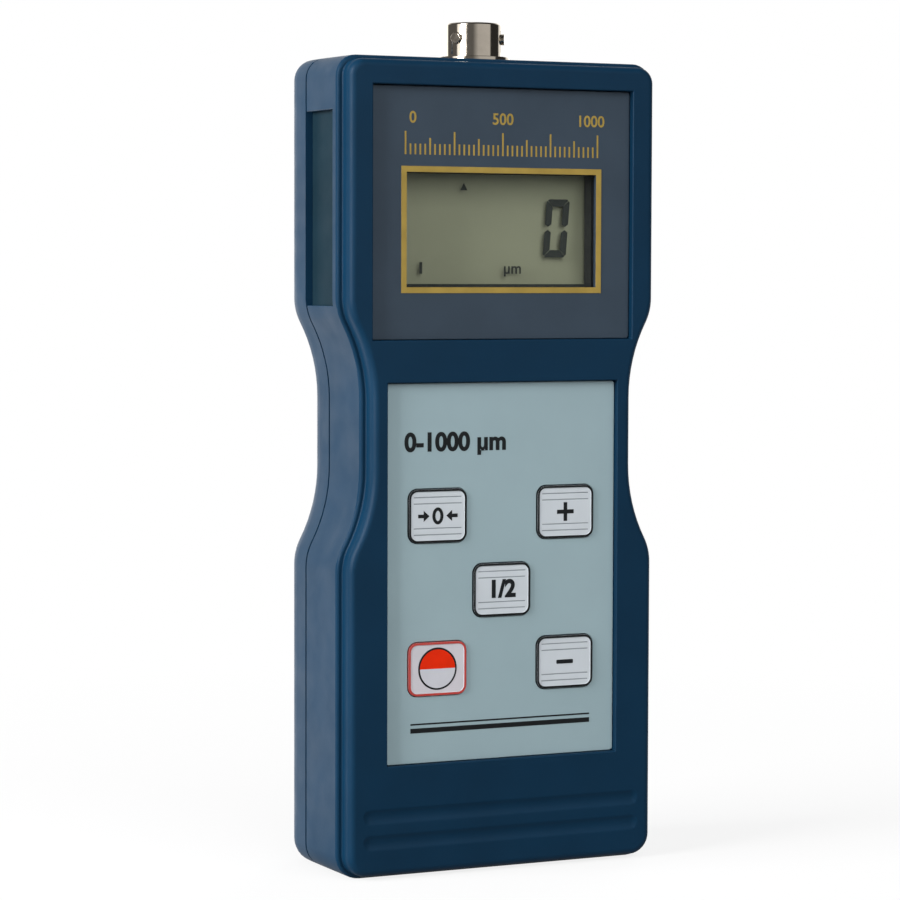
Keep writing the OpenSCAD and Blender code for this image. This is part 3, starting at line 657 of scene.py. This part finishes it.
# Keypad print: the range in figures above the keys, a line over a bar below them
keypad_low, keypad_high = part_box("keypad_plate")
RANGE_X = -9.7 * MM
RANGE_Z = keypad_high.z - 11.2 * MM
RANGE_SIZE = 4.8 * MM
RANGE_BOLD = 0.18 * MM
FOOT_Z = keypad_low.z + 6.6 * MM
FOOT_HALF = 19.0 * MM
FOOT_BAR = (FOOT_Z - 0.9 * MM, FOOT_Z)
FOOT_LINE = (FOOT_Z + 0.6 * MM, FOOT_Z + 0.9 * MM)
text_piece("keypad_range", [("0-1000 \u00b5m", RANGE_X, RANGE_Z)], RANGE_SIZE, RANGE_BOLD, keypad_low.y,
           ink_black, "housing")
foot_shapes = [bar(-FOOT_HALF, FOOT_HALF, *FOOT_BAR), bar(-FOOT_HALF, FOOT_HALF, *FOOT_LINE)]
print_piece("keypad_foot_lines", foot_shapes, keypad_low.y, ink_black, "housing")

# Display: a reflector behind clear glass, with the dark segments at the front of the glass
lcd_low, lcd_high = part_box("lcd_cell")
window_low, window_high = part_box("display_window")
GLASS_T = 0.9 * MM
GLASS_CORNER = 0.3 * MM
DIGIT_X = 13.75 * MM
DIGIT_Z = 121.85 * MM
DIGIT_W = 5.0 * MM
DIGIT_H = 11.1 * MM
SEGMENT_T = 1.4 * MM
SEGMENT_GAP = 0.05 * MM
CORNER_CUT = 0.55 * MM
MIDDLE_GAP = 0.3 * MM
SLANT = math.tan(math.radians(4.5))
UNIT_X = 4.35 * MM
UNIT_Z = 114.1 * MM
UNIT_SIZE = 3.0 * MM
UNIT_BOLD = 0.05 * MM
TRIANGLE = ((0, 0.8 * MM), (-0.75 * MM, -0.6 * MM), (0.75 * MM, -0.6 * MM))
TRIANGLE_AT = (-5.95 * MM, 129.45 * MM)
SMALL_BAR = (0.6 * MM, 2.2 * MM)
SMALL_BAR_CORNER = 0.1 * MM
SMALL_BAR_AT = (-14.9 * MM, 114.2 * MM)
LCD_FOOT_SHADE = (110.3 * MM, 111.2 * MM)


def lcd_shapes():
    """Segments of a slanted nought: the top one and the upper left one, mirrored to the other sides."""
    hw = DIGIT_W / 2
    hh = DIGIT_H / 2
    t = SEGMENT_T
    g = SEGMENT_GAP
    c = CORNER_CUT
    m = MIDDLE_GAP
    top = [(-hw + c, hh), (-hw + c / 2 + g, hh - c / 2), (-hw + t + g, hh - t), (hw - t - g, hh - t),
           (hw - c / 2 - g, hh - c / 2), (hw - c, hh)]
    left = [(-hw + c / 2, hh - c / 2 - g), (-hw, hh - c), (-hw, m + t / 3), (-hw + t / 2, m),
            (-hw + t, m + t / 3), (-hw + t, hh - t - g)]
    shapes = []
    for points in (top, left):
        shapes.append(points)
        shapes.append([(x, -z) for x, z in reversed(points)])
    for points in (shapes[2], shapes[3]):
        shapes.append([(-x, z) for x, z in reversed(points)])
    return [[(x + SLANT * z + DIGIT_X, z + DIGIT_Z) for x, z in points] for points in shapes]


glass_back = lcd_low.y + GLASS_T
lcd_outline = rounded(lcd_high.x - lcd_low.x, lcd_high.z - lcd_low.z, GLASS_CORNER, steps=3)
lcd_outline = moved(lcd_outline, 0, (lcd_low.z + lcd_high.z) / 2)
reflector_bm = bmesh.new()
add_plate(reflector_bm, lcd_outline, glass_back + INK, lcd_high.y)
reflector = add_piece("lcd_reflector", reflector_bm, lcd_grey, "housing")
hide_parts("lcd_cell")
glass_bm = bmesh.new()
add_plate(glass_bm, lcd_outline, lcd_low.y, glass_back)
add_piece("lcd_glass", glass_bm, window_clear, "housing")
print_piece("lcd_nought", lcd_shapes(), lcd_low.y, lcd_ink, "housing")
text_piece("lcd_unit", [("\u00b5m", UNIT_X, UNIT_Z)], UNIT_SIZE, UNIT_BOLD, lcd_low.y, lcd_ink,
           "housing")
lcd_small_bar = rounded(*SMALL_BAR, SMALL_BAR_CORNER, steps=3)
print_piece("lcd_marks", [moved(TRIANGLE, *TRIANGLE_AT), moved(lcd_small_bar, *SMALL_BAR_AT)],
            lcd_low.y, lcd_ink, "housing")
# A dark bar along the foot of the display: painted shade standing in for the dark gap under the window's
# lower edge
print_piece("lcd_foot_shade", [bar(window_low.x, window_high.x, *LCD_FOOT_SHADE)], lcd_low.y, lcd_ink,
            "housing")

# Studio: a pale floor, white surroundings, three soft boxes, a strip for the highlight on the left ridge, and
# bright and dark cards that only reflections show
WHITE = (1, 1, 1, 1)
FLOOR_R = 0.9
FLOOR_SIDES = 64
FLOOR_DROP = 0.1 * MM
FLOOR_ROUGHNESS = 0.9
FLOOR_PALE = (0.72, 0.72, 0.72)
FLOOR_BOUNCE = (0.22, 0.22, 0.22)
FLOOR_FADE = (0.06, 0.30)
FLOOR_GLOW = 0.82
FLOOR_TURN = (-0.03, 0.05)
FLOOR_BACK = 1.9
FLOOR_SHARE = 0.85
AMBIENT = 0.20
LIGHT_AIM = (0, 0, 0.08)

# Cards round the gauge: their angles, turned by the camera's azimuth, and brightness; they dim with height
CAMERA_AZIMUTH = 115.0
RAMP_MIDDLE = 0.5
CARDS = ((-180, 2.0), (-126, 1.9), (-119, 0.11), (-69, 0.11), (-63, 1.5), (-29, 1.5), (-25, 0.12), (0, 0.13),
         (21, 0.52), (72, 0.57), (77, 0.03), (124, 0.03), (131, 0.95), (180, 2.0))
CARD_TOP = (0.35, 0.65)
CARD_LOW = 0.15


def add_light(name, place, size, power, mirrored=False):
    """A soft box aimed at the gauge, which either lights it or is only mirrored in it."""
    data = bpy.data.lights.new(name, "AREA")
    data.shape = "RECTANGLE"
    data.size, data.size_y = size
    data.energy = power
    made = bpy.data.objects.new(name, data)
    made.location = place
    made.rotation_euler = (Vector(LIGHT_AIM) - Vector(place)).to_track_quat("-Z", "Y").to_euler()
    made.visible_camera = False
    made.visible_glossy = mirrored
    made.visible_diffuse = not mirrored
    scene.collection.objects.link(made)


def build_world():
    """White for the camera, a ring of bright and dark cards for reflections, even soft light for the rest."""
    world = bpy.data.worlds.new("studio")
    scene.world = world
    world.use_nodes = True
    tree = world.node_tree
    path = tree.nodes.new("ShaderNodeLightPath")
    place = tree.nodes.new("ShaderNodeTexCoord")

    turn = tree.nodes.new("ShaderNodeMapping")
    turn.inputs["Rotation"].default_value = (0, 0, math.radians(CAMERA_AZIMUTH))
    ring = tree.nodes.new("ShaderNodeTexGradient")
    ring.gradient_type = "RADIAL"
    ramp = tree.nodes.new("ShaderNodeValToRGB")
    stops = ramp.color_ramp.elements
    while len(stops) < len(CARDS):
        stops.new(RAMP_MIDDLE)
    for stop, (angle, level) in zip(stops, CARDS):
        stop.position = RAMP_MIDDLE + angle / 360
        stop.color = (level, level, level, 1)
    tree.links.new(place.outputs["Generated"], turn.inputs["Vector"])
    tree.links.new(turn.outputs["Vector"], ring.inputs["Vector"])
    tree.links.new(ring.outputs["Fac"], ramp.inputs["Fac"])

    split = tree.nodes.new("ShaderNodeSeparateXYZ")
    height = tree.nodes.new("ShaderNodeMath")
    height.operation = "ABSOLUTE"
    tree.links.new(place.outputs["Generated"], split.inputs["Vector"])
    tree.links.new(split.outputs["Z"], height.inputs[0])

    cards = tree.nodes.new("ShaderNodeBackground")
    tree.links.new(ramp.outputs["Color"], cards.inputs["Color"])
    tree.links.new(ranged(tree, height.outputs["Value"], CARD_TOP, (1.0, CARD_LOW)), cards.inputs["Strength"])
    ambient = tree.nodes["Background"]
    ambient.inputs["Color"].default_value = WHITE
    ambient.inputs["Strength"].default_value = AMBIENT
    white = tree.nodes.new("ShaderNodeBackground")
    white.inputs["Color"].default_value = WHITE
    lit = mixed(tree, path.outputs["Is Glossy Ray"], ambient.outputs["Background"],
                cards.outputs["Background"])
    seen = mixed(tree, path.outputs["Is Camera Ray"], lit, white.outputs["Background"])
    tree.links.new(seen, tree.nodes["World Output"].inputs["Surface"])


def floor_surface():
    """A light shadow near the gauge, white further off, and bright behind the gauge in reflections."""
    made, main = shader("floor")
    tree = made.node_tree
    path = tree.nodes.new("ShaderNodeLightPath")
    place = tree.nodes.new("ShaderNodeNewGeometry")

    shade = tree.nodes.new("ShaderNodeMix")
    shade.data_type = "RGBA"
    shade.inputs["A"].default_value = (*FLOOR_PALE, 1)
    shade.inputs["B"].default_value = (*FLOOR_BOUNCE, 1)
    tree.links.new(path.outputs["Is Diffuse Ray"], shade.inputs["Factor"])
    tree.links.new(shade.outputs["Result"], main.inputs["Base Color"])
    main.inputs["Roughness"].default_value = FLOOR_ROUGHNESS
    main.inputs["Specular IOR Level"].default_value = 0.0

    split = tree.nodes.new("ShaderNodeSeparateXYZ")
    tree.links.new(place.outputs["Position"], split.inputs["Vector"])
    behind = ranged(tree, split.outputs["Y"], FLOOR_TURN, (0.0, FLOOR_BACK))
    mirrored = tree.nodes.new("ShaderNodeEmission")
    tree.links.new(behind, mirrored.inputs["Strength"])
    dim = tree.nodes.new("ShaderNodeMath")
    dim.operation = "MULTIPLY"
    dim.inputs[1].default_value = FLOOR_SHARE
    tree.links.new(path.outputs["Is Glossy Ray"], dim.inputs[0])
    lit = mixed(tree, dim.outputs["Value"], main.outputs["BSDF"], mirrored.outputs["Emission"])

    away = tree.nodes.new("ShaderNodeVectorMath")
    away.operation = "LENGTH"
    tree.links.new(place.outputs["Position"], away.inputs[0])
    fade = ranged(tree, away.outputs["Value"], FLOOR_FADE, (FLOOR_GLOW, 1.0))
    share = tree.nodes.new("ShaderNodeMath")
    share.operation = "MULTIPLY"
    tree.links.new(path.outputs["Is Camera Ray"], share.inputs[0])
    tree.links.new(fade, share.inputs[1])
    glow = tree.nodes.new("ShaderNodeEmission")
    glow.inputs["Color"].default_value = WHITE
    seen = mixed(tree, share.outputs["Value"], lit, glow.outputs["Emission"])
    tree.links.new(seen, tree.nodes["Material Output"].inputs["Surface"])
    return made


def build_floor():
    """A round floor just under the gauge."""
    bm = bmesh.new()
    bmesh.ops.create_circle(bm, cap_ends=True, radius=FLOOR_R, segments=FLOOR_SIDES)
    mesh = bpy.data.meshes.new("floor")
    bm.to_mesh(mesh)
    bm.free()
    mesh.materials.append(floor_surface())
    floor = bpy.data.objects.new("floor", mesh)
    floor.location = (0, 0, -FLOOR_DROP)
    scene.collection.objects.link(floor)


def build_camera():
    """The camera of the photograph."""
    data = bpy.data.cameras.new("camera")
    data.lens = CAMERA_LENS
    data.sensor_width = CAMERA_SENSOR
    data.clip_start = CAMERA_NEAR
    camera = bpy.data.objects.new("camera", data)
    camera.location = CAMERA_AT
    camera.rotation_euler = [math.radians(a) for a in CAMERA_TURN]
    scene.collection.objects.link(camera)
    scene.camera = camera


build_world()
build_floor()
build_camera()
add_light("key_box", place=(-1.25, -0.12, 0.50), size=(0.8, 0.8), power=41)
add_light("front_box", place=(0.10, -1.20, 0.78), size=(1.2, 1.2), power=15.4)
add_light("back_box", place=(1.00, 0.90, 0.60), size=(0.8, 0.8), power=9)
add_light("ridge_strip", place=(-0.53, -0.25, 0.34), size=(0.2, 0.35), power=4.0, mirrored=True)
scene.view_settings.view_transform = "Standard"
